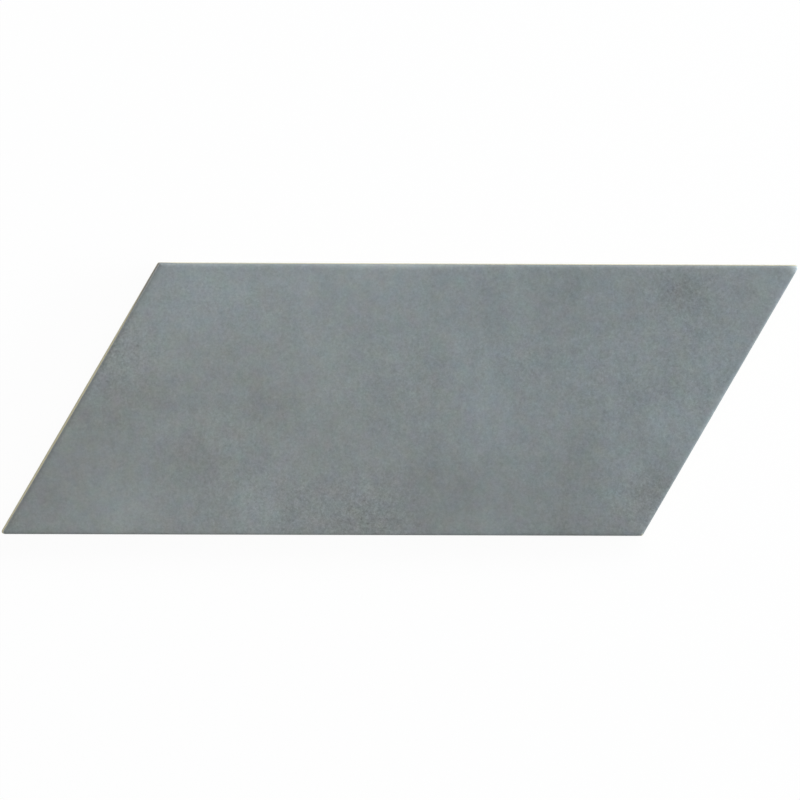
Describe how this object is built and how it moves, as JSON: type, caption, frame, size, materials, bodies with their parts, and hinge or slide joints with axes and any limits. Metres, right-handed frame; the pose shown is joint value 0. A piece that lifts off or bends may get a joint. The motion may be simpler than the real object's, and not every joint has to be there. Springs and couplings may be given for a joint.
{
  "type": "chevron wall tile",
  "caption": "Flat parallelogram wall tile with mitred ends, a satin-matte cement-look glazed face, rounded arris and keyed back, laid with mirrored tiles to form V rows.",
  "frame": {"origin": "middle of the back, on the plane of its ribs and rim", "axes": "+X along the long edges, +Y across the tile towards the edge that is set over to +X, +Z out of the glazed face"},
  "size_m": [0.254, 0.0866, 0.0085],
  "materials": {
    "glazed_tile": "satin"
  },
  "bodies": {
    "root": {"chevron_tile": "glazed_tile"}
  },
  "joints": []
}
